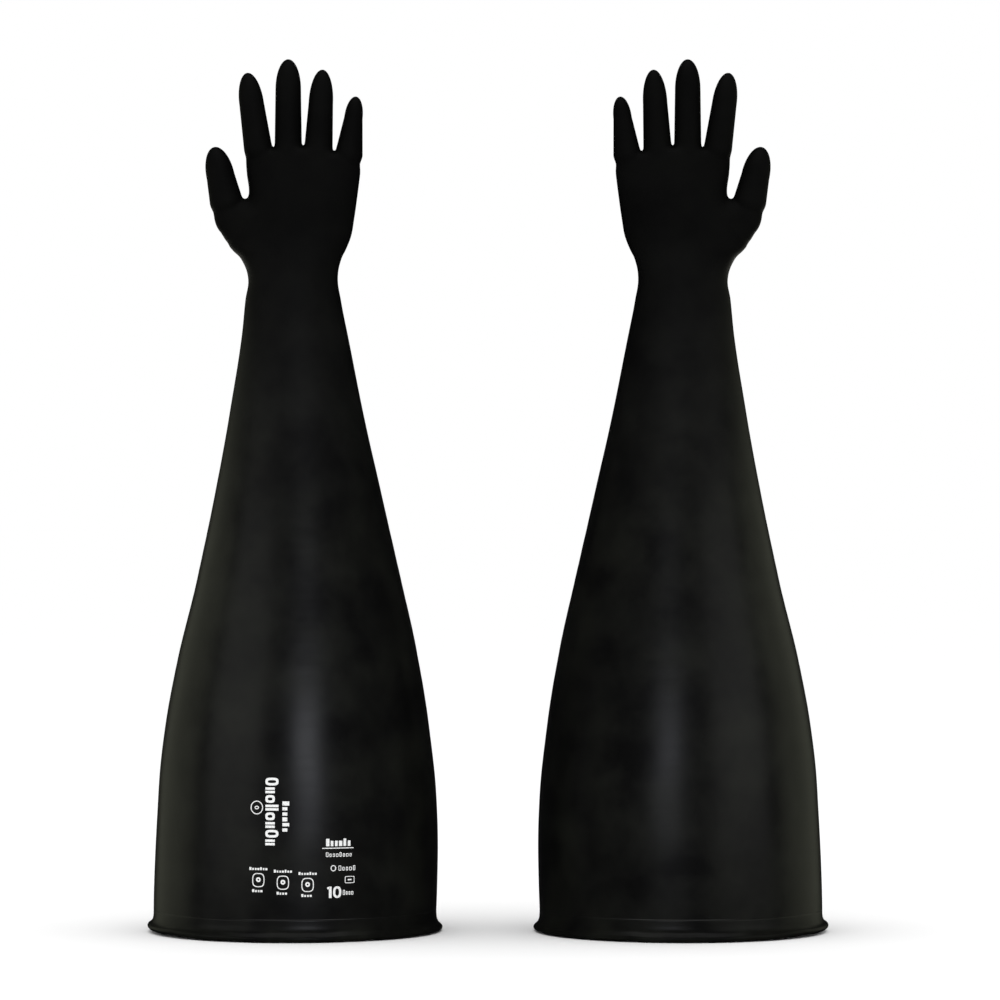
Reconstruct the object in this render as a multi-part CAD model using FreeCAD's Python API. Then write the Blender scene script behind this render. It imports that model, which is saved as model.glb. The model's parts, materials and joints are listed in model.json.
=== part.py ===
"""A pair of ambidextrous glovebox gauntlets, dip-moulded in black neoprene, standing on their cuffs.

Each glove is one rubber film on the real thing. Here it is cut into named zones at the places where
it bends: stiff zones that keep their shape, and short zones of film between them that fold.

Row frame, millimetres: +Z up the arm to the fingertips, X across the pair, -Y to the front, which is
the palm side that the fingers curl towards. The origin is on the table, midway between the cuffs.
Glove coordinates are the left glove's: x = 0 on the cuff's axis, with the thumb towards -x. Either
glove fits either hand, so the right one is the same glove turned half round, its print to the back.
"""

import FreeCAD
import Part
import math
import os

Vector = FreeCAD.Vector
UP = Vector(0, 0, 1)
ACROSS = Vector(0, 1, 0)

# Driving sizes.
WALL = 0.76            # 30 mil neoprene film
GLOVE_LENGTH = 813.0   # 32 in from the cuff's foot to the middle fingertip
PAIR_SPACING = 361.0   # between the two cuffs' axes
FILM_GAP = 0.3         # left open between films that ride on different bodies
REACH = 60.0           # larger than any finger's radius, for slicing

# Cuff: a true cylinder that a port ring fills, with a bead rolled outwards at its foot.
CUFF_R = 131.7
CUFF_TOP = 67.0
CUFF_BORE_R = CUFF_R - WALL
BEAD_R = 3.2
BEAD_RING_R = CUFF_BORE_R + BEAD_R

# Where each zone of the arm ends.
SLEEVE_TOP = 276.0
ELBOW_TOP = 396.0
WRIST_FOOT = 585.0
WRIST_TOP = 639.0
PALM_TOP = 728.0

# Sections of the mould: (height, centre x, half width, half depth). It is round up to the elbow, drifts a
# little off the cuff's axis, and flattens towards the wrist.
SLEEVE_SECTIONS = [
    (CUFF_TOP, 0.0, CUFF_R, CUFF_R), (85, 0.7, 131.4, 131.4), (105, 1.6, 130.6, 130.6), (180, 2.6, 124.5, 124.5),
    (252, 3.2, 112.4, 112.4), (SLEEVE_TOP, 3.4, 106.9, 106.9),
]
ELBOW_SECTIONS = [(SLEEVE_TOP, 3.4, 106.9, 106.9), (336, 4.2, 93.1, 92.9), (ELBOW_TOP, 3.6, 80.0, 79.5)]
FOREARM_SECTIONS = [
    (ELBOW_TOP, 3.6, 80.0, 79.5), (477, 2.0, 63.6, 59.5), (552, 0.3, 50.1, 42.5), (WRIST_FOOT, -1.2, 45.0, 36.0),
]
WRIST_SECTIONS = [
    (WRIST_FOOT, -1.2, 45.0, 36.0), (598, -1.6, 43.3, 33.5), (612, -1.4, 41.8, 31.0), (625, -2.7, 45.4, 28.7),
    (WRIST_TOP, -5.4, 54.7, 27.0),
]
PALM_SECTIONS = [
    (WRIST_TOP, -5.4, 54.7, 27.0), (656, 0.6, 54.2, 26.0), (682, 7.4, 50.9, 24.0), (704, 8.4, 52.7, 20.8),
    (PALM_TOP, 8.6, 55.1, 15.5),
]
# The mound of the thumb, low to high.
THENAR_SECTIONS = [(640, -39.0, 20.4, 12.0), (650, -44.0, 23.6, 14.0), (660, -47.5, 25.0, 15.5), (680, -56.0, 22.0, 15.0)]

# Each digit is a taper that ends in an elliptical dome. x and z are its root's centre, lean turns it
# towards +x in degrees, and the zones are distances up its axis from the root.
DIGITS = {
    "thumb": {"x": -63.2, "z": 680.7, "lean": -12.5, "length": 51.6, "root_r": 15.4, "dome_r": 13.2,
              "dome": 28.0, "root_zone": (1, 19), "joint_zone": (22, 38), "sunk": 14.0},
    "index": {"x": -34.1, "z": 730.1, "lean": -8.2, "length": 70.9, "root_r": 13.2, "dome_r": 11.5,
              "dome": 29.0, "root_zone": (2, 24), "joint_zone": (31, 51), "sunk": 10.0},
    "middle": {"x": -5.9, "z": 730.6, "lean": 0.0, "length": 82.4, "root_r": 12.7, "dome_r": 11.9,
               "dome": 28.0, "root_zone": (3, 25), "joint_zone": (34, 56), "sunk": 10.0},
    "ring": {"x": 22.2, "z": 728.3, "lean": 3.0, "length": 75.1, "root_r": 13.3, "dome_r": 11.4,
             "dome": 31.0, "root_zone": (5, 27), "joint_zone": (32, 53), "sunk": 10.0},
    "little": {"x": 50.7, "z": 724.5, "lean": 7.1, "length": 54.1, "root_r": 12.9, "dome_r": 8.6,
               "dome": 20.0, "root_zone": (2, 20), "joint_zone": (24, 40), "sunk": 8.0},
}

# Ink print low on the sleeve: plain bars, rings and a size number.
INK = 0.12             # film of ink, a little thicker than life so that it meshes
PRINT_DEPTH = 200.0    # how far in front of the axis the print is projected from


def section_wire(section, inset):
    """One closed section of the arm, drawn inset from its stated half sizes."""
    z, x, half_width, half_depth = section
    if half_width == half_depth:
        return Part.Wire([Part.Circle(Vector(x, 0, z), UP, half_width - inset).toShape()])
    return Part.Wire([Part.Ellipse(Vector(x, 0, z), half_width - inset, half_depth - inset).toShape()])


def arm_solid(sections, inset=0.0):
    """A closed solid through elliptical sections."""
    return Part.makeLoft([section_wire(s, inset) for s in sections], True, False)


def arm_film(sections, short=0.0):
    """The film between an arm's outside and its inside, open at both ends, cut short at its top."""
    film = arm_solid(sections).cut(arm_solid(sections, WALL))
    low, high = sections[0][0], sections[-1][0]
    return film.common(Part.makeCylinder(2 * CUFF_R, high - short - low, Vector(0, 0, low), UP))


def slab(low, high):
    """The part of a digit's axis between two distances, as a wide disc."""
    return Part.makeCylinder(REACH, high - low, Vector(0, 0, low), UP)


def bead_solid():
    """The rim rolled outwards into a round ring, flush with the cuff's bore."""
    return Part.makeTorus(BEAD_RING_R, BEAD_R, Vector(0, 0, BEAD_R), UP)


def sleeve_solid(inset):
    """The straight cuff and the tapering sleeve over it, as a closed solid that stands on the bead's middle."""
    cuff = Part.makeCylinder(CUFF_R - inset, CUFF_TOP - BEAD_R, Vector(0, 0, BEAD_R), UP)
    return cuff.fuse(arm_solid(SLEEVE_SECTIONS, inset))


def sleeve_film():
    """The film of the cuff and sleeve, with a seat for the bead."""
    return sleeve_solid(0.0).cut(sleeve_solid(WALL)).cut(bead_solid())


def digit_solid(digit, inset, low):
    """A digit's outside, or its inside if inset, standing on the height low of its own axis."""
    dome_foot = digit["length"] - digit["dome"]
    slope = (digit["dome_r"] - digit["root_r"]) / dome_foot
    low_r = digit["root_r"] + slope * low - inset
    dome_r = digit["dome_r"] - inset
    dome_height = digit["dome"] - inset
    shaft = Part.makeCone(low_r, dome_r, dome_foot - low, Vector(0, 0, low), UP)
    centre = Vector(0, 0, dome_foot)
    rim = Vector(dome_r, 0, dome_foot)
    top = Vector(0, 0, dome_foot + dome_height)
    oval = Part.Ellipse(top, rim, centre) if dome_height > dome_r else Part.Ellipse(rim, top, centre)
    start, end = sorted((oval.parameter(rim), oval.parameter(top)))
    if end - start > math.pi:
        start, end = end, start + 2 * math.pi
    quarter = oval.toShape(start, end)
    edges = [quarter, Part.makeLine(top, centre), Part.makeLine(centre, rim)]
    cap = Part.Face(Part.Wire(Part.__sortEdges__(edges))).revolve(centre, UP, 360)
    return shaft.fuse(cap).removeSplitter()


def stood_up(shape, digit):
    """Puts a shape from a digit's own axis onto its root, leaning."""
    moved = shape.copy()
    moved.rotate(Vector(0, 0, 0), ACROSS, digit["lean"])
    moved.translate(Vector(digit["x"], 0, digit["z"]))
    return moved


def digit_zones(digit):
    """A digit's four zones of film, root to tip. The two that fold stop short of the next body."""
    root_low, root_high = digit["root_zone"]
    joint_low, joint_high = digit["joint_zone"]
    film = digit_solid(digit, 0.0, 0.0).cut(digit_solid(digit, WALL, -1.0))
    spans = {
        "root_fold": (root_low, root_high - FILM_GAP),
        "base": (root_high, joint_low),
        "joint_fold": (joint_low, joint_high - FILM_GAP),
        "tip": (joint_high, digit["length"] + 1),
    }
    return {zone: stood_up(film.common(slab(*span)), digit) for zone, span in spans.items()}


def palm_solid(inset):
    """The palm with its thumb mound and a stub for each digit, or the hollow inside them."""
    overrun = inset and 1.0
    sections, mound = list(PALM_SECTIONS), list(THENAR_SECTIONS)
    if inset:
        sections[0] = (WRIST_TOP - overrun, *sections[0][1:])
        sections[-1] = (PALM_TOP - inset, *sections[-1][1:])
        mound[-1] = (mound[-1][0] - inset, *mound[-1][1:])
    body = arm_solid(sections, inset).fuse(arm_solid(mound, inset))
    for digit in DIGITS.values():
        stub = digit_solid(digit, inset, -digit["sunk"]).common(slab(-digit["sunk"], digit["root_zone"][0] + overrun))
        body = body.fuse(stood_up(stub, digit))
    return body


def palm_film():
    """The palm's film, open at the wrist and at every digit. It stops where the thumb and the little finger
    start to fold, since their mound and knuckle would stand above that."""
    film = palm_solid(0.0).cut(palm_solid(WALL))
    for name in ("thumb", "little"):
        digit = DIGITS[name]
        above = Part.makeCylinder(digit["root_r"] + FILM_GAP, 12.0, Vector(0, 0, digit["root_zone"][0]), UP)
        film = film.cut(stood_up(above, digit))
    return film


def bar(x, z, width, height):
    """An upright plate for a bar of ink, centred on x and z, deep enough to cross the sleeve's front."""
    return Part.makeBox(width, PRINT_DEPTH, height, Vector(x - width / 2, -PRINT_DEPTH, z - height / 2))


def ring(x, z, radius, line, stretch=1.0):
    """An upright ring of ink, stretched upwards for a figure 0."""
    def disc(r):
        centre = Vector(x, 0, z)
        curve = Part.Ellipse(Vector(x, 0, z + r * stretch + 0.001), Vector(x + r, 0, z), centre)
        return Part.Face(Part.Wire([curve.toShape()])).extrude(Vector(0, -PRINT_DEPTH, 0))
    return disc(radius).cut(disc(radius - line))


def print_plates():
    """The generic marks: a heavy and a light upright bar, a ring, three badges and a size number."""
    plates = [bar(-16.5, 118.5, 7.0, 60.0), bar(-2.6, 114.4, 4.5, 28.0), ring(-29.2, 122.5, 5.0, 1.2)]
    for x, z in ((-27.4, 57.0), (-6.4, 54.5), (17.4, 52.7)):
        plates += [bar(x, z + 11.0, 15.0, 2.6), ring(x, z, 5.4, 1.2), bar(x, z, 3.0, 4.5), bar(x, z - 11.0, 10.0, 2.6)]
    plates += [bar(45.0, 91.0, 22.0, 5.0), bar(44.5, 85.4, 26.0, 1.0), bar(45.2, 79.8, 22.0, 3.6)]
    plates += [bar(49.0, 67.4, 20.0, 4.0), bar(55.0, 56.7, 8.0, 5.0)]
    plates += [bar(37.0, 45.6, 2.6, 11.0), ring(43.2, 45.6, 3.4, 1.9, 1.6), bar(53.6, 45.6, 9.0, 3.0)]
    return Part.makeCompound(plates)


def ink_film():
    """The print as a thin layer on the sleeve's outside, facing the front."""
    layer = sleeve_solid(-INK).cut(sleeve_solid(0.0))
    return Part.makeCompound(layer.common(print_plates()).Solids)


def glove():
    """Every node of one glove, in glove coordinates."""
    nodes = {
        "cuff_bead": bead_solid(),
        "sleeve": sleeve_film(),
        "elbow_fold": arm_film(ELBOW_SECTIONS, FILM_GAP),
        "forearm": arm_film(FOREARM_SECTIONS),
        "wrist_fold": arm_film(WRIST_SECTIONS, FILM_GAP),
        "palm": palm_film(),
        "print": ink_film(),
    }
    for name, digit in DIGITS.items():
        for zone, film in digit_zones(digit).items():
            nodes[f"{name}_{zone}"] = film
    return nodes


def placed(shape, x, turn):
    """Moves a shape from glove coordinates to its glove's place in the pair."""
    moved = shape.copy()
    moved.rotate(Vector(0, 0, 0), UP, turn)
    moved.translate(Vector(x, 0, 0))
    return moved


def main():
    os.makedirs("parts", exist_ok=True)
    tallest = max(d["z"] + d["length"] * math.cos(math.radians(d["lean"])) for d in DIGITS.values())
    assert abs(tallest - GLOVE_LENGTH) < 0.5, "the middle fingertip sets the glove's length"
    for node, shape in glove().items():
        solids = shape.Solids
        good = all(s.isValid() and s.isClosed() and s.Volume > 0 for s in solids)
        print(f"{node}: {len(solids)} solids, {shape.Volume:.1f} mm3{'' if good else ', NOT VALID'}")
        for side, x, turn in (("left", -PAIR_SPACING / 2, 0), ("right", PAIR_SPACING / 2, 180)):
            placed(Part.makeCompound(solids), x, turn).exportStep(f"parts/{side}_{node}.step")


main()
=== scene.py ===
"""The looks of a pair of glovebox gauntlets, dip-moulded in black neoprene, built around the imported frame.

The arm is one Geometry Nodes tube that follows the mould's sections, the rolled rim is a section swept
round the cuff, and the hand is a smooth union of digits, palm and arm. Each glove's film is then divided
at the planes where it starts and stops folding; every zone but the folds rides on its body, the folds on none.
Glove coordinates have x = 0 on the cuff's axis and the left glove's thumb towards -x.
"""

import json
import math

import bmesh
import bpy
import numpy as np
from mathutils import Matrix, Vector

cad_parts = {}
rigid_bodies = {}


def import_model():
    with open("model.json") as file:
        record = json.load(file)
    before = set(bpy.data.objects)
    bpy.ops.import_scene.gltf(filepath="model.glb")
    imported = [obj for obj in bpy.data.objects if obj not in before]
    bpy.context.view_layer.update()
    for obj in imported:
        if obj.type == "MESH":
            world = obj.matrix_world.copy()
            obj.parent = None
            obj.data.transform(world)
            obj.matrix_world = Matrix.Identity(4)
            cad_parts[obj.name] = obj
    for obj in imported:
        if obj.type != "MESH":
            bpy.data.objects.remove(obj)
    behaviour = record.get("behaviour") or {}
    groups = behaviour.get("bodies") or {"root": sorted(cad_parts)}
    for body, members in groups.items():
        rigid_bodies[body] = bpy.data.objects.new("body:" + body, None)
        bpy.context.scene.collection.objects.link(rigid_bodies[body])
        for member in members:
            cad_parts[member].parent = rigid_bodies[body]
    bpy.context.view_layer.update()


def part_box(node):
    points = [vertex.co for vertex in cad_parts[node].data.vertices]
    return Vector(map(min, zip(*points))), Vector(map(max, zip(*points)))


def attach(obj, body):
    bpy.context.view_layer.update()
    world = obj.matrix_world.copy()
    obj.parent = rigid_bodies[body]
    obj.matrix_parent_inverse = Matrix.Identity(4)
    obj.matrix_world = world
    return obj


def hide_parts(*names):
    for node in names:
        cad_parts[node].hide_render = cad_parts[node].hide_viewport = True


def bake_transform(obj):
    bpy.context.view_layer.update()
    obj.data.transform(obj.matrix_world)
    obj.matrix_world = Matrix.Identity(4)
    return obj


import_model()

MM = 0.001
WALL = 0.76 * MM              # 30 mil film
SECTION_SPAN = 0.768          # height the section curves cover: 256 steps of 3 mm
STEP = SECTION_SPAN / 256
RIM_TOP = 7 * STEP            # where the rolled rim hands over to the plain sleeve
WRIST_FOOT = 0.585
WRIST_TOP = 0.639
ELBOW = (0.276, 0.396)
OVERRUN = 5 * STEP            # extra rows past the wrist, so that normals there have both sides
PRINT_LIFT = 0.10 * MM
INK = 0.12 * MM

# Mould sections up the arm: height, half width, half depth, sideways drift of the centre, in mm.
SECTIONS = [
    (0, 131.2, 131.2, 0.0),
    (45, 132.0, 132.0, 1.2),
    (105, 130.8, 130.8, 2.7),
    (180, 124.5, 124.5, 2.6),
    (252, 112.4, 112.4, 3.2),
    (327, 95.2, 95.0, 4.2),
    (402, 78.9, 78.2, 3.6),
    (477, 63.6, 59.5, 2.0),
    (552, 50.0, 42.5, 0.4),
    (588, 44.6, 35.6, -1.3),
    (609, 41.9, 31.8, -1.5),
    (627, 47.0, 28.8, -3.2),
    (636, 52.8, 27.6, -4.6),
    (648, 55.2, 26.6, -2.4),
    (663, 53.6, 25.6, 1.9),
    (684, 50.8, 24.0, 7.7),
    (708, 53.1, 18.5, 8.4),
    (735, 55.6, 12.5, 8.7),
    (768, 56.5, 8.5, 9.0),
]

# Digits: root centre x and z, lean towards +x in degrees, length, root and dome radius, dome height, then
# where the root fold and the joint fold start and stop along the axis. All in mm.
DIGITS = {
    "thumb": (-63.9, 680.7, -12.5, 51.6, 15.4, 13.2, 28.0, (1, 19), (22, 38)),
    "index": (-34.1, 730.1, -8.2, 70.9, 13.2, 11.5, 29.0, (2, 24), (31, 51)),
    "middle": (-5.9, 730.6, 0.0, 82.4, 12.7, 11.9, 28.0, (3, 25), (34, 56)),
    "ring": (22.2, 728.3, 3.0, 75.1, 13.3, 11.4, 31.0, (5, 27), (32, 53)),
    "little": (50.7, 724.5, 7.1, 54.1, 12.9, 8.6, 20.0, (2, 20), (24, 40)),
}


def srgb(hex_colour):
    """A hex colour such as '1a1b18' as linear RGBA."""
    parts = [int(hex_colour[i:i + 2], 16) / 255 for i in (0, 2, 4)]
    return tuple(c / 12.92 if c <= 0.04045 else ((c + 0.055) / 1.055) ** 2.4 for c in parts) + (1.0,)


def node(tree, kind, inputs=None, **settings):
    """Adds a node. An input is given a value, or linked if what it is given is another node's output."""
    made = tree.nodes.new(kind)
    for name, value in settings.items():
        setattr(made, name, value)
    for key, value in (inputs or {}).items():
        if isinstance(value, bpy.types.NodeSocket):
            tree.links.new(value, made.inputs[key])
        else:
            made.inputs[key].default_value = value
    return made


def math_node(tree, operation, *values):
    """The output of a Math node."""
    return node(tree, "ShaderNodeMath", dict(enumerate(values)), operation=operation).outputs[0]


def mapped(tree, value, low, high, start, end, **settings):
    """A value from low to high, brought to start to end and held there beyond."""
    inputs = {0: value, 1: low, 2: high, 3: start, 4: end}
    return node(tree, "ShaderNodeMapRange", inputs, **settings).outputs[0]


# ---------------------------------------------------------------- materials

def neoprene():
    """Dip-moulded neoprene: near black, satin on the sleeve where the mould was polished, matt on the hand,
    with a faint grey-green bloom, mottled wet-and-dry patches and level marks left by the dip."""
    material = bpy.data.materials.new("dip-moulded neoprene")
    material.use_nodes = True
    tree = material.node_tree
    shader = tree.nodes["Principled BSDF"]
    # Where a point was on the mould, so that the finish stays on the film as it folds.
    where = node(tree, "ShaderNodeAttribute", attribute_name="on mould").outputs["Vector"]
    height = node(tree, "ShaderNodeSeparateXYZ", {0: where}).outputs["Z"]
    # Patches of bloom about 45 mm across.
    patches = node(tree, "ShaderNodeTexNoise",
                   {"Vector": where, "Scale": 22.0, "Detail": 3.0, "Roughness": 0.55})
    # Level marks: noise squeezed to 6 mm tall bands that run round the sleeve.
    squeezed = node(tree, "ShaderNodeMapping", {"Vector": where, "Scale": (4.0, 4.0, 160.0)})
    levels = node(tree, "ShaderNodeTexNoise", {"Vector": squeezed.outputs[0], "Scale": 1.0, "Detail": 2.0})
    # Orange peel of the film, about 2.5 mm across, drawn coarser than life so that it shows.
    peel = node(tree, "ShaderNodeTexNoise",
                {"Vector": where, "Scale": 420.0, "Detail": 2.0, "Roughness": 0.6})
    bloom = mapped(tree, patches.outputs["Fac"], 0.35, 0.7, 0.0, 1.0)
    bloom = math_node(tree, "MULTIPLY", bloom, mapped(tree, height, 0.36, 0.66, 1.0, 0.25))
    tint = node(tree, "ShaderNodeMix", {0: bloom, 6: srgb("0a0a0a"), 7: srgb("161713")}, data_type="RGBA")
    # Painted shade: the base colour is scaled down to 0.72 up the hand. This stands in for the shade the hand is
    # in, so it reads darker than the sleeve.
    hand_painted_shade = mapped(tree, height, 0.5, 0.66, 1.0, 0.72)
    tint = node(tree, "ShaderNodeVectorMath", {0: tint.outputs[2], "Scale": hand_painted_shade}, operation="SCALE")
    tree.links.new(tint.outputs["Vector"], shader.inputs["Base Color"])
    finish = mapped(tree, height, 0.36, 0.64, 0.32, 0.6)
    mottled = math_node(tree, "MULTIPLY_ADD", patches.outputs["Fac"], 0.10, finish)
    banded = math_node(tree, "MULTIPLY_ADD", levels.outputs["Fac"], 0.05, mottled)
    rough = math_node(tree, "SUBTRACT", banded, 0.075)
    tree.links.new(rough, shader.inputs["Roughness"])
    relief = math_node(tree, "MULTIPLY_ADD", peel.outputs["Fac"], 0.25, levels.outputs["Fac"])
    bump = node(tree, "ShaderNodeBump", {"Height": relief, "Strength": 0.12, "Distance": 0.0004})
    tree.links.new(bump.outputs[0], shader.inputs["Normal"])
    # The hand is duller than the sleeve: its mould was left rough for grip.
    sheen = mapped(tree, height, 0.3, 0.66, 0.5, 0.06)
    # The lip of the rim is dusty and duller too.
    sheen = math_node(tree, "MULTIPLY", sheen, mapped(tree, height, 0.008, 0.02, 0.3, 1.0))
    tree.links.new(sheen, shader.inputs["Specular IOR Level"])
    shader.inputs["IOR"].default_value = 1.52
    return material


def print_ink():
    """White screen-printed ink on rubber: a thin flat coat, matt, with pinholes from the film's grain."""
    material = bpy.data.materials.new("white screen-print ink")
    material.use_nodes = True
    tree = material.node_tree
    shader = tree.nodes["Principled BSDF"]
    where = node(tree, "ShaderNodeTexCoord").outputs["Object"]
    grain = node(tree, "ShaderNodeTexNoise", {"Vector": where, "Scale": 1500.0, "Detail": 1.0})
    worn = mapped(tree, grain.outputs["Fac"], 0.3, 0.42, 0.0, 1.0)
    tint = node(tree, "ShaderNodeMix", {0: worn, 6: srgb("9a9a97"), 7: srgb("f1f2f1")}, data_type="RGBA")
    tree.links.new(tint.outputs[2], shader.inputs["Base Color"])
    shader.inputs["Roughness"].default_value = 0.55
    return material


def pale_floor():
    """Matt white board that sends back all the light it gets, so that it meets the white surround unseen."""
    material = bpy.data.materials.new("matt white board")
    material.use_nodes = True
    tree = material.node_tree
    board = node(tree, "ShaderNodeBsdfDiffuse", {"Color": (1, 1, 1, 1)})
    tree.links.new(board.outputs[0], tree.nodes["Material Output"].inputs["Surface"])
    return material


# ---------------------------------------------------------------- the mould's sections, as node groups

def new_tree(name, inputs, outputs):
    """An empty Geometry Nodes tree with named sockets, and its Group Input and Group Output nodes."""
    tree = bpy.data.node_groups.new(name, "GeometryNodeTree")
    for (label, kind), side in [(s, "INPUT") for s in inputs] + [(s, "OUTPUT") for s in outputs]:
        tree.interface.new_socket(label, in_out=side, socket_type="NodeSocket" + kind)
    return tree, tree.nodes.new("NodeGroupInput"), tree.nodes.new("NodeGroupOutput")


def section_group():
    """Height to half width, half depth and centre of the mould, through one float curve each."""
    tree, given, result = new_tree(
        "mould section", [("Height", "Float")],
        [("Half Width", "Float"), ("Half Depth", "Float"), ("Centre", "Float")])
    along = math_node(tree, "DIVIDE", given.outputs["Height"], SECTION_SPAN)
    curves = []
    for column in (1, 2, 3):
        curve = node(tree, "ShaderNodeFloatCurve", {"Value": along})
        curve.mapping.use_clip = False
        points = curve.mapping.curves[0].points
        while len(points) < len(SECTIONS):
            points.new(0.5, 0.5)
        for point, section in zip(points, SECTIONS):
            point.location = (section[0] * MM / SECTION_SPAN, section[column] * MM)
            point.handle_type = "AUTO"
        curve.mapping.update()
        tree.links.new(curve.outputs[0], result.inputs[column - 1])
        curves.append(curve)
    return tree, curves


def relief_group():
    """Where a point of the smooth mould ends up: slow dents, then fine level ripples round the mid sleeve."""
    tree, given, result = new_tree(
        "dip relief", [("Position", "Vector"), ("Centre", "Float"), ("Dent", "Float"), ("Ripple", "Float")],
        [("Position", "Vector")])
    point = node(tree, "ShaderNodeSeparateXYZ", {0: given.outputs["Position"]})
    side = math_node(tree, "SUBTRACT", point.outputs["X"], given.outputs["Centre"])
    outward = node(tree, "ShaderNodeCombineXYZ", {"X": side, "Y": point.outputs["Y"]}).outputs[0]
    outward = node(tree, "ShaderNodeVectorMath", {0: outward}, operation="NORMALIZE").outputs["Vector"]
    slow = node(tree, "ShaderNodeTexNoise",
                {"Vector": given.outputs["Position"], "Scale": 9.0, "Detail": 1.0})
    flat = node(tree, "ShaderNodeVectorMath", {0: given.outputs["Position"], 1: (6.0, 6.0, 75.0)},
                operation="MULTIPLY").outputs["Vector"]
    fine = node(tree, "ShaderNodeTexNoise", {"Vector": flat, "Scale": 1.0, "Detail": 1.0})
    height = point.outputs["Z"]
    # Dents fade out at the cuff and the wrist, ripples lie between 0.2 and 0.42 m.
    fades = [
        mapped(tree, height, low, high, start, end, interpolation_type="SMOOTHSTEP")
        for low, high, start, end in
        ((0.02, 0.10, 0.0, 1.0), (0.46, 0.56, 1.0, 0.0), (0.16, 0.25, 0.0, 1.0), (0.36, 0.44, 1.0, 0.0))
    ]
    dent = math_node(tree, "SUBTRACT", slow.outputs["Fac"], 0.5)
    ripple = math_node(tree, "SUBTRACT", fine.outputs["Fac"], 0.5)
    dent = math_node(tree, "MULTIPLY", dent, given.outputs["Dent"])
    ripple = math_node(tree, "MULTIPLY", ripple, given.outputs["Ripple"])
    dent = math_node(tree, "MULTIPLY", math_node(tree, "MULTIPLY", dent, fades[0]), fades[1])
    ripple = math_node(tree, "MULTIPLY", math_node(tree, "MULTIPLY", ripple, fades[2]), fades[3])
    push = node(tree, "ShaderNodeVectorMath", {0: outward, "Scale": math_node(tree, "ADD", dent, ripple)},
                operation="SCALE").outputs["Vector"]
    moved = node(tree, "ShaderNodeVectorMath", {0: given.outputs["Position"], 1: push}, operation="ADD")
    tree.links.new(moved.outputs["Vector"], result.inputs["Position"])
    return tree


def finish_tree(tree, given, result, geometry):
    """Ends a tree in Realize Instances and Set Material."""
    real = node(tree, "GeometryNodeRealizeInstances", {"Geometry": geometry})
    painted = node(tree, "GeometryNodeSetMaterial",
                   {"Geometry": real.outputs[0], "Material": given.outputs["Material"]})
    tree.links.new(painted.outputs[0], result.inputs["Geometry"])


def grown(tree, data, values):
    """The mesh that a tree grows from an object's data, with the modifier gone. Values go by socket name."""
    scaffold = bpy.data.objects.new("scaffold", data)
    bpy.context.scene.collection.objects.link(scaffold)
    modifier = scaffold.modifiers.new("growth", "NODES")
    modifier.node_group = tree
    for socket in tree.interface.items_tree:
        if socket.in_out == "INPUT" and socket.name in values:
            modifier[socket.identifier] = values[socket.name]
    bpy.context.view_layer.update()
    made = bpy.data.meshes.new_from_object(scaffold.evaluated_get(bpy.context.evaluated_depsgraph_get()))
    bpy.data.objects.remove(scaffold)
    return made


SECTION, SECTION_CURVES = section_group()
RELIEF = relief_group()
DENT = 1.6 * MM
RIPPLE = 0.35 * MM


def arm_tree():
    """A tube of rings set out on the mould's sections, then given the dip's relief."""
    tree, given, result = new_tree(
        "moulded arm",
        [("Geometry", "Geometry"), ("Foot", "Float"), ("Head", "Float"), ("Rings", "Int"), ("Around", "Int"),
         ("Dent", "Float"), ("Ripple", "Float"), ("Material", "Material")],
        [("Geometry", "Geometry")])
    tube = node(tree, "GeometryNodeMeshCylinder",
                {"Vertices": given.outputs["Around"], "Side Segments": given.outputs["Rings"],
                 "Radius": 1.0, "Depth": 1.0}, fill_type="NONE")
    unit = node(tree, "ShaderNodeSeparateXYZ", {0: node(tree, "GeometryNodeInputPosition").outputs[0]})
    share = math_node(tree, "ADD", unit.outputs["Z"], 0.5)
    height = mapped(tree, share, 0.0, 1.0, given.outputs["Foot"], given.outputs["Head"])
    section = node(tree, "GeometryNodeGroup", node_tree=SECTION)
    tree.links.new(height, section.inputs["Height"])
    x = math_node(tree, "MULTIPLY_ADD",
                  unit.outputs["X"], section.outputs["Half Width"], section.outputs["Centre"])
    y = math_node(tree, "MULTIPLY", unit.outputs["Y"], section.outputs["Half Depth"])
    smooth = node(tree, "ShaderNodeCombineXYZ", {"X": x, "Y": y, "Z": height}).outputs[0]
    relief = node(tree, "GeometryNodeGroup", node_tree=RELIEF)
    for name, source in (("Position", smooth), ("Centre", section.outputs["Centre"]),
                         ("Dent", given.outputs["Dent"]), ("Ripple", given.outputs["Ripple"])):
        tree.links.new(source, relief.inputs[name])
    shaped = node(tree, "GeometryNodeSetPosition",
                  {"Geometry": tube.outputs["Mesh"], "Position": relief.outputs[0]})
    finish_tree(tree, given, result, shaped.outputs[0])
    return tree


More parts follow.
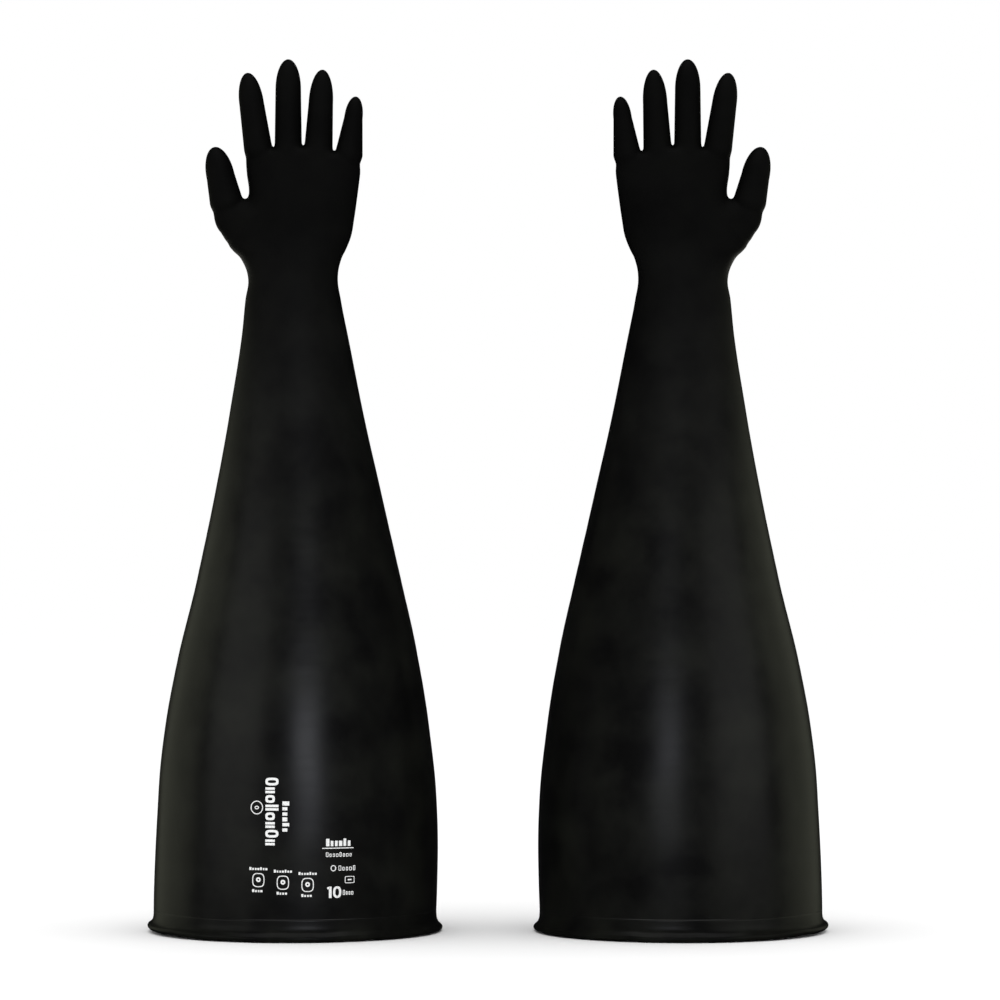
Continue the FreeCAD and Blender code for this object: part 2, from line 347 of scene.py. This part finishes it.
def rim_tree():
    """A closed section swept round the cuff. The lip waves a little, the top edge stays true."""
    tree, given, result = new_tree(
        "rolled rim",
        [("Geometry", "Geometry"), ("Radius", "Float"), ("Around", "Int"), ("Wave", "Float"),
         ("Top", "Float"), ("Material", "Material")],
        [("Geometry", "Geometry")])
    circle = node(tree, "GeometryNodeCurvePrimitiveCircle",
                  {"Resolution": given.outputs["Around"], "Radius": given.outputs["Radius"]})
    swept = node(tree, "GeometryNodeCurveToMesh",
                 {"Curve": circle.outputs["Curve"], "Profile Curve": given.outputs["Geometry"]})
    where = node(tree, "GeometryNodeInputPosition").outputs[0]
    height = node(tree, "ShaderNodeSeparateXYZ", {0: where}).outputs["Z"]
    noise = node(tree, "ShaderNodeTexNoise", {"Vector": where, "Scale": 22.0, "Detail": 1.0})
    crest = math_node(tree, "MAXIMUM", math_node(tree, "SUBTRACT", noise.outputs["Fac"], 0.42), 0.0)
    # The lip also curls up towards the thumb's side.
    across = node(tree, "ShaderNodeSeparateXYZ", {0: where}).outputs["X"]
    curl = math_node(tree, "MINIMUM", math_node(tree, "DIVIDE", across, given.outputs["Radius"]), 0.0)
    crest = math_node(tree, "MULTIPLY_ADD", curl, curl, math_node(tree, "MULTIPLY", crest, 2.0))
    amount = math_node(tree, "MULTIPLY", crest, given.outputs["Wave"])
    # Only upwards from the table, and nothing at the top edge.
    share = mapped(tree, height, given.outputs["Top"], 0.0, 0.0, 1.0, interpolation_type="SMOOTHSTEP")
    push = node(tree, "ShaderNodeCombineXYZ", {"Z": math_node(tree, "MULTIPLY", amount, share)})
    shaped = node(tree, "GeometryNodeSetPosition", {"Geometry": swept.outputs[0], "Offset": push.outputs[0]})
    finish_tree(tree, given, result, shaped.outputs[0])
    return tree


def wrap_tree():
    """Flat marks drawn on x and z, repeated along a line and laid on the front of the sleeve, where Facing is
    -1, or on its back, where it is 1."""
    tree, given, result = new_tree(
        "wrapped print",
        [("Geometry", "Geometry"), ("Count", "Int"), ("Pitch", "Vector"), ("Lift", "Float"),
         ("Facing", "Float"), ("Dent", "Float"), ("Ripple", "Float"), ("Material", "Material")],
        [("Geometry", "Geometry")])
    line = node(tree, "GeometryNodeMeshLine",
                {"Count": given.outputs["Count"], "Offset": given.outputs["Pitch"]})
    many = node(tree, "GeometryNodeInstanceOnPoints",
                {"Points": line.outputs["Mesh"], "Instance": given.outputs["Geometry"]})
    flat = node(tree, "GeometryNodeRealizeInstances", {"Geometry": many.outputs[0]})
    fine = node(tree, "GeometryNodeSubdivideMesh", {"Mesh": flat.outputs[0], "Level": 2})
    point = node(tree, "ShaderNodeSeparateXYZ", {0: node(tree, "GeometryNodeInputPosition").outputs[0]})
    section = node(tree, "GeometryNodeGroup", node_tree=SECTION)
    tree.links.new(point.outputs["Z"], section.inputs["Height"])
    wide = math_node(tree, "ADD", section.outputs["Half Width"], given.outputs["Lift"])
    deep = math_node(tree, "ADD", section.outputs["Half Depth"], given.outputs["Lift"])
    side = math_node(tree, "SUBTRACT", point.outputs["X"], section.outputs["Centre"])
    side = math_node(tree, "DIVIDE", side, wide)
    front = math_node(tree, "SQRT", math_node(tree, "SUBTRACT", 1.0, math_node(tree, "MULTIPLY", side, side)))
    y = math_node(tree, "MULTIPLY", math_node(tree, "MULTIPLY", front, deep), given.outputs["Facing"])
    smooth = node(tree, "ShaderNodeCombineXYZ",
                  {"X": point.outputs["X"], "Y": y, "Z": point.outputs["Z"]}).outputs[0]
    relief = node(tree, "GeometryNodeGroup", node_tree=RELIEF)
    for name, source in (("Position", smooth), ("Centre", section.outputs["Centre"]),
                         ("Dent", given.outputs["Dent"]), ("Ripple", given.outputs["Ripple"])):
        tree.links.new(source, relief.inputs[name])
    laid = node(tree, "GeometryNodeSetPosition", {"Geometry": fine.outputs[0], "Position": relief.outputs[0]})
    finish_tree(tree, given, result, laid.outputs[0])
    return tree


# ---------------------------------------------------------------- skins: points, faces and normals as arrays

def skin_of(mesh):
    """A mesh's points, faces and point normals."""
    points = np.zeros(len(mesh.vertices) * 3)
    mesh.vertices.foreach_get("co", points)
    normals = np.zeros(len(mesh.vertices) * 3, np.float32)
    mesh.vertex_normals.foreach_get("vector", normals)
    faces = [list(polygon.vertices) for polygon in mesh.polygons]
    return points.reshape(-1, 3), faces, normals.reshape(-1, 3).astype(float)


def part_of(points, faces, normals, keep):
    """The faces of a skin that keep says, with only their own points."""
    chosen = [face for face, kept in zip(faces, keep) if kept]
    used = sorted({i for face in chosen for i in face})
    place = {old: new for new, old in enumerate(used)}
    return points[used], [[place[i] for i in face] for face in chosen], normals[used]


def remember_mould(mesh):
    """Keeps where each point was on the mould, for the material."""
    place = mesh.attributes.new("on mould", "FLOAT_VECTOR", "POINT")
    points = np.zeros(len(mesh.vertices) * 3, np.float32)
    mesh.vertices.foreach_get("co", points)
    place.data.foreach_set("vector", points)


def film(name, skin, wall, material, side):
    """A closed piece: the skin outside, the same skin set in by the wall inside, and edges between them.
    The right glove's film is the left one's seen in a mirror, so its faces are turned round again."""
    points, faces, normals = skin
    count = len(points)
    both = np.concatenate([points, points - normals * wall])
    edges = dict.fromkeys(edge for face in faces for edge in zip(face, face[1:] + face[:1]))
    open_edges = [(a, b) for a, b in edges if (b, a) not in edges]
    inside = [[i + count for i in reversed(face)] for face in faces]
    rims = [[b, a, a + count, b + count] for a, b in open_edges]
    every = faces + inside + rims
    directions = np.concatenate([normals, -normals])
    if side == "right":
        both = both * (-1, 1, 1)
        directions = directions * (-1, 1, 1)
        every = [face[::-1] for face in every]
    both[:, 0] += AXIS[side]
    mesh = bpy.data.meshes.new(name)
    mesh.from_pydata(both.tolist(), [], every)
    mesh.update()
    rim_from = len(faces) + len(inside)
    loops = []
    for polygon in mesh.polygons:
        if polygon.index >= rim_from:
            loops += [tuple(polygon.normal)] * polygon.loop_total
        else:
            loops += [tuple(directions[i]) for i in polygon.vertices]
    mesh.shade_smooth()
    mesh.normals_split_custom_set(loops)
    mesh.materials.append(material)
    remember_mould(mesh)
    piece = bpy.data.objects.new(name, mesh)
    bpy.context.scene.collection.objects.link(piece)
    return piece


# ---------------------------------------------------------------- the hand, as a smooth union

def section_arrays():
    """The three section curves read every 3 mm, and joined by a cubic through those readings."""
    readings = []
    for curve in SECTION_CURVES:
        curve.mapping.initialize()
        readings.append([curve.mapping.evaluate(curve.mapping.curves[0], i / 256) for i in range(257)])
    values = np.array(readings) / MM
    slopes = np.gradient(values, axis=1)

    def at(height):
        t = np.clip(height / (STEP / MM), 0, 255.999)
        i = t.astype(int)
        t = t - i
        p0, p1, m0, m1 = values[:, i], values[:, i + 1], slopes[:, i], slopes[:, i + 1]
        return ((2 * t**3 - 3 * t**2 + 1) * p0 + (t**3 - 2 * t**2 + t) * m0
                + (3 * t**2 - 2 * t**3) * p1 + (t**3 - t**2) * m1)
    return at


SECTION_AT = section_arrays()


def joined(a, b, reach):
    """The union of two distance fields, rounded where they meet."""
    near = np.maximum(reach - np.abs(a - b), 0) / reach
    return np.minimum(a, b) - near**3 * reach / 6


def arm_field(p):
    """Distance to the arm and palm, whose sections are ellipses."""
    half_width, half_depth, centre = SECTION_AT(p[:, 2])
    u, v = (p[:, 0] - centre) / half_width, p[:, 1] / half_depth
    size = np.sqrt(u * u + v * v) + 1e-6
    steep = np.sqrt((u / half_width) ** 2 + (v / half_depth) ** 2) / size + 1e-6
    return (size - 1) / steep


def digit_frame(digit):
    """A digit's root and its direction, in mm."""
    x, z, lean = digit[0], digit[1], math.radians(digit[2])
    return np.array([x, 0.0, z]), np.array([math.sin(lean), 0.0, math.cos(lean)])


def digit_field(p, digit):
    """Distance to a digit: a taper that ends in an elliptical dome."""
    root, way = digit_frame(digit)
    _, _, _, length, root_r, dome_r, dome = digit[:7]
    along = (p - root) @ way
    across = np.linalg.norm(p - root - np.outer(along, way), axis=1)
    across = np.hypot(across, np.minimum(along, 0))
    foot = length - dome
    radius = root_r + (dome_r - root_r) * np.clip(along, 0, foot) / foot
    rise = np.clip(along - foot, 0, None) / dome
    size = np.sqrt((across / radius) ** 2 + rise**2) + 1e-6
    steep = np.sqrt((across / radius**2) ** 2 + (rise / dome) ** 2) / size + 1e-6
    return (size - 1) / steep


def capsule_field(p, a, b, radius_a, radius_b, flatten):
    """Distance to a tapered capsule whose depth is squeezed."""
    a, b = np.array(a, float), np.array(b, float)
    q = p * (1, 1 / flatten, 1)
    t = np.clip(((q - a) @ (b - a)) / ((b - a) @ (b - a)), 0, 1)
    return np.linalg.norm(q - a - np.outer(t, b - a), axis=1) - (radius_a + (radius_b - radius_a) * t)


def hand_field(p):
    """Distance to the whole hand with its wrist, in mm."""
    x, z = p[:, 0], p[:, 2]
    # The palm closes between the digits along a low arch.
    crest = 730.6 - 0.0045 * np.maximum(x - 4, 0) ** 2 - 0.003 * np.maximum(4 - x, 0) ** 2
    palm = -joined(-arm_field(p), crest - z, 13.0)
    mound = capsule_field(p, (-44.0, 0, 658.5), (-59.5, 0, 670.5), 25.6, 15.5, 0.74)
    mound = joined(mound, capsule_field(p, (-51, 0, 659), (-56, 0, 664), 19.5, 18.0, 0.74), 6.0)
    whole = joined(palm, mound, 9.0)
    whole = joined(whole, digit_field(p, DIGITS["thumb"]), 4.0)
    fingers = None
    for name in ("index", "middle", "ring", "little"):
        field = digit_field(p, DIGITS[name])
        fingers = field if fingers is None else joined(fingers, field, 4.0)
    return joined(whole, fingers, 7.0)


def hand_skin():
    """The hand's surface as a mesh: cells of a grid that the surface crosses each give a point, which is then
    drawn onto the surface and evened out along it."""
    cell = 1.4
    low, high = np.array([-96.0, -44.0, 566.0]), np.array([82.0, 44.0, 822.0])
    shape = np.ceil((high - low) / cell).astype(int)
    axes = [low[i] + cell * np.arange(shape[i]) for i in range(3)]
    grid = np.stack(np.meshgrid(*axes, indexing="ij"), -1).reshape(-1, 3)
    values = np.concatenate([hand_field(chunk) for chunk in np.array_split(grid, 12)]).reshape(shape)
    inside = values < 0
    counts = np.zeros(shape - 1)
    total = np.zeros((*(shape - 1), 3))
    edges = []
    for axis in range(3):
        first = [slice(0, -1) if i == axis else slice(None) for i in range(3)]
        second = [slice(1, None) if i == axis else slice(None) for i in range(3)]
        a, b = values[tuple(first)], values[tuple(second)]
        crossing = inside[tuple(first)] != inside[tuple(second)]
        index = np.argwhere(crossing)
        share = (a / (a - b + (a == b)))[crossing]
        point = index.astype(float)
        point[:, axis] += share
        edges.append((index, a[crossing] < 0))
        others = [i for i in range(3) if i != axis]
        for du in (0, 1):
            for dv in (0, 1):
                cell_index = index.copy()
                cell_index[:, others[0]] -= du
                cell_index[:, others[1]] -= dv
                good = ((cell_index >= 0) & (cell_index < shape - 1)).all(1)
                np.add.at(counts, tuple(cell_index[good].T), 1)
                np.add.at(total, tuple(cell_index[good].T), point[good])
    used = counts > 0
    number = np.full(shape - 1, -1)
    number[used] = np.arange(used.sum())
    points = total[used] / counts[used][:, None] * cell + low
    faces = []
    for axis, (index, starts_inside) in enumerate(edges):
        u, v = (axis + 1) % 3, (axis + 2) % 3
        corners = []
        for du, dv in ((0, 0), (1, 0), (1, 1), (0, 1)):
            cell_index = index.copy()
            cell_index[:, u] -= du
            cell_index[:, v] -= dv
            ok = ((cell_index >= 0) & (cell_index < shape - 1)).all(1)
            corners.append(np.where(ok, number[tuple(np.clip(cell_index, 0, shape - 2).T)], -1))
        quad = np.stack(corners, 1)
        # The four cells run clockwise seen from the outside when the edge starts inside.
        quad = np.where(starts_inside[:, None], quad, quad[:, ::-1])
        faces.append(quad[(quad >= 0).all(1)])
    faces = np.concatenate(faces)
    links = np.concatenate([faces[:, [i, (i + 1) % 4]] for i in range(4)])
    degree = np.bincount(links.ravel(), minlength=len(points))
    for evening in range(6):
        neighbours = np.zeros_like(points)
        np.add.at(neighbours, links[:, 0], points[links[:, 1]])
        np.add.at(neighbours, links[:, 1], points[links[:, 0]])
        if evening:
            points = points + 0.5 * (neighbours / np.maximum(degree, 1)[:, None] - points)
        for _ in range(2):
            points, normals = drawn_on(points)
    return points * MM, faces, normals


def drawn_on(points):
    """One step towards the hand's surface, and the surface's normals there."""
    reach = 0.05
    slope = np.stack([
        (hand_field(points + reach * unit) - hand_field(points - reach * unit)) / (2 * reach)
        for unit in np.eye(3)
    ], 1)
    steep = np.linalg.norm(slope, axis=1, keepdims=True) + 1e-9
    return points - hand_field(points)[:, None] * slope / steep**2, slope / steep


def hand_zones():
    """The hand's film by zone: wrist fold, palm, and four zones for each digit. Cuts fall exactly on the
    planes where folding starts and stops."""
    points, faces, normals = hand_skin()
    bm = bmesh.new()
    layer = bm.verts.layers.float_vector.new("way")
    for point, normal in zip(points, normals):
        bm.verts.new(point)[layer] = normal
    bm.verts.ensure_lookup_table()
    for face in faces:
        bm.faces.new([bm.verts[i] for i in face])
    for height, drop in ((WRIST_FOOT, True), (WRIST_TOP, False)):
        everything = bm.verts[:] + bm.edges[:] + bm.faces[:]
        bmesh.ops.bisect_plane(bm, geom=everything, dist=1e-7, plane_co=(0, 0, height), plane_no=(0, 0, 1),
                               clear_inner=drop)
    for number, digit in enumerate(DIGITS.values()):
        root, way = digit_frame(digit)
        for distance in digit[7] + digit[8]:
            owner, along = digit_of(face_centres(bm), -4.0)
            near = (owner == number) & (np.abs(along - distance) < 5.0)
            geom = set()
            for face, chosen in zip(bm.faces, near):
                if chosen:
                    geom.update([face, *face.edges, *face.verts])
            bmesh.ops.bisect_plane(bm, geom=list(geom), dist=1e-7, plane_co=(root + way * distance) * MM,
                                   plane_no=way)
    bm.normal_update()
    bm.verts.index_update()
    points = np.array([v.co for v in bm.verts])
    normals = np.array([v[layer] for v in bm.verts])
    normals /= np.linalg.norm(normals, axis=1, keepdims=True)
    faces = [[v.index for v in face.verts] for face in bm.faces]
    centres = face_centres(bm)
    bm.free()
    owner, along = digit_of(centres, 0.0)
    zones = {
        "wrist_fold": (owner < 0) & (centres[:, 2] * MM < WRIST_TOP),
        "palm": (owner < 0) & (centres[:, 2] * MM > WRIST_TOP),
    }
    for number, (name, digit) in enumerate(DIGITS.items()):
        limits = [0, digit[7][1], digit[8][0], digit[8][1], digit[3] + 1]
        for part, low, high in zip(("root_fold", "base", "joint_fold", "tip"), limits, limits[1:]):
            zones[f"{name}_{part}"] = (owner == number) & (along > low) & (along < high)
    return {zone: part_of(points, faces, normals, chosen) for zone, chosen in zones.items()}


def face_centres(bm):
    """The middle of every face, in mm."""
    return np.array([face.calc_center_median() for face in bm.faces]) / MM


def digit_of(centres, margin):
    """The number of the digit that each point of the skin is on, past its root fold's start plus the margin,
    or -1, and how far along the digit it is."""
    best = np.full(len(centres), 4.0)
    owner = np.full(len(centres), -1)
    found = np.zeros(len(centres))
    for number, digit in enumerate(DIGITS.values()):
        root, way = digit_frame(digit)
        along = (centres - root) @ way
        across = np.linalg.norm(centres - root - np.outer(along, way), axis=1)
        off = across - digit[4] - (digit[5] - digit[4]) * along / (digit[3] - digit[6])
        nearer = (off < best) & (along > digit[7][0] + margin)
        best[nearer], owner[nearer], found[nearer] = off[nearer], number, along[nearer]
    return owner, found


# ---------------------------------------------------------------- print shapes, drawn flat on x and z in mm

def block(x, z, width, height):
    """A solid bar."""
    a, b = width / 2, height / 2
    return [[(x - a, z - b), (x + a, z - b), (x + a, z + b), (x - a, z + b)]]


def loop(x, z, half_width, half_height, line, power=2.0, steps=28):
    """A ring. A high power makes it nearly square."""
    def spot(i, inset):
        t = 2 * math.pi * i / steps
        c, s = math.cos(t), math.sin(t)
        return (x + (half_width - inset) * math.copysign(abs(c) ** (2 / power), c),
                z + (half_height - inset) * math.copysign(abs(s) ** (2 / power), s))
    return [[spot(i, line), spot(i, 0), spot(i + 1, 0), spot(i + 1, line)] for i in range(steps)]


def greeked(x, z, length, height, count, upright=False, light=False):
    """A line of small blocks where the real print has words. Upright lines read downwards, light ones are
    open boxes."""
    quads = []
    pitch = length / count
    for i in range(count):
        at = -length / 2 + pitch * (i + 0.5)
        wide = pitch * (0.62 if i % 3 else 0.78)
        tall = height * (1.0 if i % 4 == 0 else 0.72)
        drop = (tall - height) / 2
        if upright:
            quads += block(x + drop, z - at, tall, wide)
        elif light:
            quads += loop(x + at, z + drop, wide / 2, tall / 2, 0.55, 6.0, 12)
        else:
            quads += block(x + at, z + drop, wide, tall)
    return quads


def outlines(x, z, length, height, count, line):
    """A heavy upright line of open loops, solid bars and discs that stands for a large name."""
    quads = []
    pitch = length / count
    for i in range(count):
        at = z + length / 2 - pitch * (i + 0.5)
        tall = height if i % 3 == 0 else height * 0.72
        shift = -(height - tall) / 2
        if i % 2 == 0:
            quads += loop(x + shift, at, tall / 2, pitch * 0.45, line, 3.0)
        else:
            quads += block(x + shift, at + pitch * 0.2, tall, line)
            quads += block(x + shift, at - pitch * 0.2, tall, line)
    return quads


def flat_mesh(name, quads):
    """Quads drawn on x and z, in mm, as a mesh that faces the front."""
    points = [(x * MM, 0.0, z * MM) for quad in quads for x, z in quad]
    mesh = bpy.data.meshes.new(name)
    mesh.from_pydata(points, [], [list(range(i, i + 4)) for i in range(0, len(points), 4)])
    bm = bmesh.new()
    bm.from_mesh(mesh)
    bmesh.ops.remove_doubles(bm, verts=bm.verts[:], dist=1e-6)
    bm.to_mesh(mesh)
    bm.free()
    return mesh


def badge():
    """A rounded square outline with a plain symbol, and a short line of print over and under it."""
    return (loop(0, 0, 5.6, 6.4, 0.8, 3.0) + loop(0, 0.4, 2.2, 2.2, 1.4)
            + greeked(0, 10.4, 17.0, 2.6, 7) + greeked(-1.0, -9.6, 10.0, 2.6, 4))


def other_marks():
    """Every mark that isn't a badge, low on the front of the sleeve."""
    quads = outlines(-15.3, 118.6, 62.8, 12.0, 8, 2.2)
    quads += greeked(-2.6, 114.4, 28.7, 6.2, 6, upright=True)
    quads += loop(-29.2, 122.5, 5.7, 6.2, 0.8) + loop(-29.2, 122.5, 2.0, 1.6, 0.8)
    quads += greeked(44.9, 90.8, 23.0, 6.8, 6) + block(44.4, 85.6, 28.0, 0.8)
    quads += greeked(45.3, 79.8, 24.0, 4.2, 8, light=True)
    quads += loop(40.4, 67.4, 2.5, 2.8, 0.8) + greeked(52.6, 67.4, 16.0, 4.6, 5, light=True)
    quads += loop(55.0, 56.7, 4.3, 3.2, 0.6, 8.0) + block(55.0, 56.7, 3.4, 1.2)
    quads += block(37.6, 45.6, 2.4, 10.4) + block(36.0, 49.4, 2.2, 2.0) + loop(43.8, 45.6, 3.7, 5.3, 2.0, 2.4)
    quads += greeked(53.6, 45.2, 10.0, 4.6, 4, light=True)
    return quads


# ---------------------------------------------------------------- building

rubber, ink = neoprene(), print_ink()
AXIS = {}
for hand_side in ("left", "right"):
    corner, far_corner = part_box(f"{hand_side}_cuff_bead")
    AXIS[hand_side] = (corner.x + far_corner.x) / 2

seed = bpy.data.meshes.new("seed")
arm_head = WRIST_FOOT + OVERRUN
arm = skin_of(grown(arm_tree(), seed, {
    "Foot": RIM_TOP, "Head": arm_head, "Rings": round((arm_head - RIM_TOP) / STEP), "Around": 192,
    "Dent": DENT, "Ripple": RIPPLE, "Material": rubber}))
heights = [sum(arm[0][i][2] for i in face) / len(face) for face in arm[1]]
ZONES = {
    "sleeve": part_of(*arm, [h < ELBOW[0] for h in heights]),
    "elbow_fold": part_of(*arm, [ELBOW[0] < h < ELBOW[1] for h in heights]),
    "forearm": part_of(*arm, [ELBOW[1] < h < WRIST_FOOT for h in heights]),
}
ZONES.update(hand_zones())

# The rim's section in mm, outside wall first and round the lip: distance out from the wall's middle, and height.
RIM_SECTION = [
    (0.38, 21.0), (0.38, 16.5), (0.75, 12.0), (2.0, 8.6), (4.0, 6.6), (5.6, 5.4), (6.3, 3.2), (5.4, 1.0),
    (3.4, 0.15), (1.4, 0.9), (0.0, 3.4), (-0.38, 7.0), (-0.38, 14.0), (-0.38, 21.0),
]


def rim_piece(side):
    """The rolled rim of one cuff."""
    half_width, _, centre = (float(v[0]) * MM for v in SECTION_AT(np.array([RIM_TOP / MM])))
    section = bpy.data.curves.new("rim section", "CURVE")
    section.dimensions = "3D"
    spline = section.splines.new("NURBS")
    spline.points.add(len(RIM_SECTION) - 1)
    for point, (out, up) in zip(spline.points, RIM_SECTION):
        point.co = (out * MM, -up * MM, 0.0, 1.0)
    spline.order_u = 3
    spline.use_endpoint_u = True
    spline.resolution_u = 4
    made = grown(RIM, section, {"Radius": half_width - WALL / 2, "Around": 192, "Wave": 2.2 * MM,
                                "Top": RIM_TOP, "Material": rubber})
    bm = bmesh.new()
    bm.from_mesh(made)
    bmesh.ops.holes_fill(bm, edges=bm.edges[:], sides=0)
    if side == "right":
        bmesh.ops.scale(bm, vec=(-1, 1, 1), verts=bm.verts[:])
    middle = AXIS[side] + (centre if side == "left" else -centre)
    bmesh.ops.translate(bm, vec=(middle, 0, 0), verts=bm.verts[:])
    bmesh.ops.recalc_face_normals(bm, faces=bm.faces[:])
    bm.to_mesh(made)
    bm.free()
    made.shade_smooth()
    remember_mould(made)
    made.name = f"{side}_rolled_rim"
    piece = bpy.data.objects.new(made.name, made)
    bpy.context.scene.collection.objects.link(piece)
    return piece


RIM, WRAP = rim_tree(), wrap_tree()

for hand_side in ("left", "right"):
    rim = rim_piece(hand_side)
    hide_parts(f"{hand_side}_cuff_bead")
    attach(rim, f"{hand_side}_cuff")
    mirror = 1 if hand_side == "left" else -1
    for zone_name, zone_skin in ZONES.items():
        piece = film(f"{hand_side}_{zone_name}_film", zone_skin, WALL, rubber, hand_side)
        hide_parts(f"{hand_side}_{zone_name}")
        if zone_name == "sleeve":
            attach(piece, f"{hand_side}_cuff")
            continue
        if not zone_name.endswith("_fold"):
            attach(piece, f"{hand_side}_{zone_name}")
            continue
        if zone_name == "elbow_fold":
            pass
        elif zone_name == "wrist_fold":
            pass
        else:
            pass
        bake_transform(piece)

# The print is on the left glove's front. The right glove is the same glove turned half round, so its print is
# behind.
BADGE_PITCH = (22.4 * MM, 0.0, -2.1 * MM)
BADGE_X, BADGE_Z = -27.6, 56.8
BADGE_QUADS = [[(x + BADGE_X, z + BADGE_Z) for x, z in quad] for quad in badge()]
for hand_side, facing in (("left", -1.0), ("right", 1.0)):
    for name, quads, count in (("print_badges", BADGE_QUADS, 3), ("print_marks", other_marks(), 1)):
        points, faces, normals = skin_of(grown(WRAP, flat_mesh(name, quads), {
            "Count": count, "Pitch": BADGE_PITCH, "Lift": PRINT_LIFT, "Facing": facing, "Dent": DENT,
            "Ripple": RIPPLE, "Material": ink}))
        if hand_side == "right":
            faces, normals = [face[::-1] for face in faces], -normals
        printed = film(f"{hand_side}_{name}", (points, faces, normals), INK, ink, hand_side)
        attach(printed, f"{hand_side}_cuff")
        if name == "print_marks":
            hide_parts(f"{hand_side}_print")

# ---------------------------------------------------------------- studio

scene = bpy.context.scene
scene.view_settings.view_transform = "Standard"

floor_mesh = bpy.data.meshes.new("floor")
floor_mesh.from_pydata([(-30, -12, 0), (30, -12, 0), (30, 60, 0), (-30, 60, 0)], [], [(0, 1, 2, 3)])
floor_mesh.materials.append(pale_floor())
floor = bpy.data.objects.new("floor", floor_mesh)
scene.collection.objects.link(floor)
floor.visible_glossy = False

CAMERA_AWAY = 4.67
CAMERA_HEIGHT = 0.4017
CAMERA_ASIDE = 0.0112
VIEW_WIDTH = 1 / 1.0717        # what the camera takes in at the gloves
camera_data = bpy.data.cameras.new("camera")
camera_data.sensor_width = 36.0
camera_data.lens = camera_data.sensor_width * CAMERA_AWAY / VIEW_WIDTH
camera = bpy.data.objects.new("camera", camera_data)
camera.location = (CAMERA_ASIDE, -CAMERA_AWAY, CAMERA_HEIGHT)
camera.rotation_euler = (math.radians(90), 0, 0)
scene.collection.objects.link(camera)
scene.camera = camera


def softbox(name, place, aim, width, height, watts, colour, lit=None):
    """A rectangular soft light, on everything or only on the pieces of one collection."""
    data = bpy.data.lights.new(name, "AREA")
    data.shape = "RECTANGLE"
    data.size, data.size_y = width, height
    data.energy = watts
    data.color = srgb(colour)[:3]
    light = bpy.data.objects.new(name, data)
    light.location = place
    light.rotation_euler = (Vector(aim) - Vector(place)).to_track_quat("-Z", "Y").to_euler()
    scene.collection.objects.link(light)
    if lit:
        light.light_linking.receiver_collection = lit
    return light


world = bpy.data.worlds.new("studio")
scene.world = world
world.use_nodes = True
sky = world.node_tree
ambient = sky.nodes["Background"]
ambient.inputs["Color"].default_value = srgb("ffffff")
ambient.inputs["Strength"].default_value = 1.0
dark = node(sky, "ShaderNodeBackground", {"Color": (1, 1, 1, 1), "Strength": 0.008})
seen = node(sky, "ShaderNodeLightPath")
both = node(sky, "ShaderNodeMixShader",
            {0: seen.outputs["Is Glossy Ray"], 1: ambient.outputs[0], 2: dark.outputs[0]})
sky.links.new(both.outputs[0], sky.nodes["World Output"].inputs["Surface"])

# Each glove has lights of its own, in mirror image, except that the streak is brighter on the left glove.
ARM_PIECES = ("sleeve", "rim", "elbow", "forearm", "print")
for hand_side, mirror, streak in (("left", -1, 8), ("right", 1, 4.5)):
    lit = bpy.data.collections.new(f"{hand_side} glove")
    hand = bpy.data.collections.new(f"{hand_side} hand")
    for piece in scene.objects:
        if piece.name.startswith(hand_side + "_"):
            lit.objects.link(piece)
            if not any(word in piece.name for word in ARM_PIECES):
                hand.objects.link(piece)
    for label, place, aim, width, height, watts, colour, pieces in (
            ("softbox", (1.6, 0.75, 0.5), (0.18, 0, 0.35), 1.8, 1.5, 2.1, "e9edd2", lit),
            ("fill", (2.2, -1.6, 0.8), (0.18, 0, 0.35), 2.3, 1.6, 4.2, "f4f5f0", lit),
            ("strip", (-0.46, -3.4, 0.8), (0, 0, 0.3), 1.1, 0.8, streak, "f2f5ff", lit),
            ("heel glow", (0.84, 1.15, 0.2), (0.24, 0, 0.65), 0.9, 0.5, 3, "f1f0e4", hand)):
        softbox(f"{hand_side} {label}", (place[0] * mirror, *place[1:]), (aim[0] * mirror, *aim[1:]),
                width, height, watts, colour, pieces)
softbox("overhead", (0, -0.6, 3.2), (0, 0, 0), 3.0, 2.4, 20, "ffffff")
